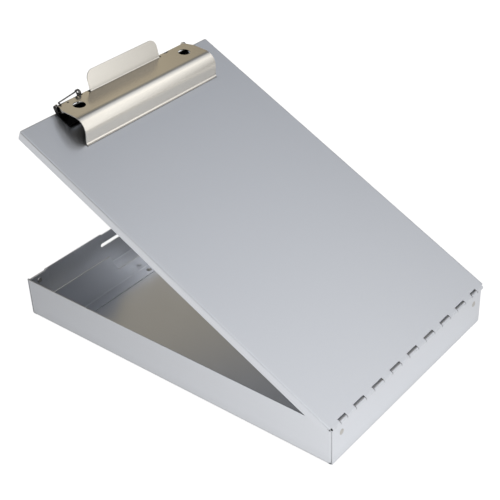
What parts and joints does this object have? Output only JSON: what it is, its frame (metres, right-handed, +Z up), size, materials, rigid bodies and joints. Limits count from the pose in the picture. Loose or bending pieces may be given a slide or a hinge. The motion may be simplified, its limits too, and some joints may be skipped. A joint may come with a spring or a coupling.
{
  "type": "storage clipboard",
  "caption": "Aluminium storage clipboard: a hinged writing board with a sprung paper clip over a shallow tray that has a pen compartment and a press latch.",
  "frame": {"origin": "centre of the tray's flat underside", "axes": "+Z up from the tray's base, +X across the board to the right, +Y along the board from the hinge towards the clip"},
  "size_m": [0.2346, 0.3418, 0.2228],
  "materials": {
    "board_aluminium": "satin anodised, fine even grain",
    "tray_aluminium": "satin mill finish",
    "rivet_aluminium": "bright, slightly rough",
    "pin_steel": "drawn wire",
    "spring_steel": "bright rolled strip",
    "clip_nickel": "nickel-plated, semi-bright, drawn lengthwise",
    "clip_plate_steel": "nickel-plated",
    "rivet_steel": "nickel-plated",
    "rod_steel": "drawn rod with peened ends",
    "spring_wire": "music wire"
  },
  "bodies": {
    "tray": {"tray": "tray_aluminium", "tray_corner_rivets": "rivet_aluminium", "pen_divider": "tray_aluminium", "divider_rivets": "rivet_aluminium", "hinge_pin": "pin_steel"},
    "lid": {"lid": "board_aluminium", "latch_bracket": "spring_steel", "latch_rivets": "rivet_aluminium", "clip_base_plate": "clip_plate_steel", "clip_rivets": "rivet_steel", "clip_rod": "rod_steel", "clip_spring": "spring_wire"},
    "latch": {"latch_leaf": "spring_steel"},
    "clip_jaw": {"clip_jaw": "clip_nickel"}
  },
  "joints": [
    {"name": "lid_hinge", "type": "hinge", "parent": "tray", "child": "lid", "pos_m": [0, -0.16925, 0.0369], "axis": [1, 0, 0], "range_deg": [-27.25, 152.75]},
    {"name": "clip_pivot", "type": "hinge", "parent": "lid", "child": "clip_jaw", "pos_m": [0.0044, 0.13961, 0.20359], "axis": [-1, 0, 0], "range_deg": [0, 28], "stiffness_Nm_per_rad": 1.2, "springref_deg": -29.79, "deforming": ["clip_spring"]},
    {"name": "latch_press", "type": "hinge", "parent": "lid", "child": "latch", "pos_m": [0, 0.13, 0.19068], "axis": [-1, 0, 0], "range_deg": [0, 10], "stiffness_Nm_per_rad": 0.3}
  ]
}
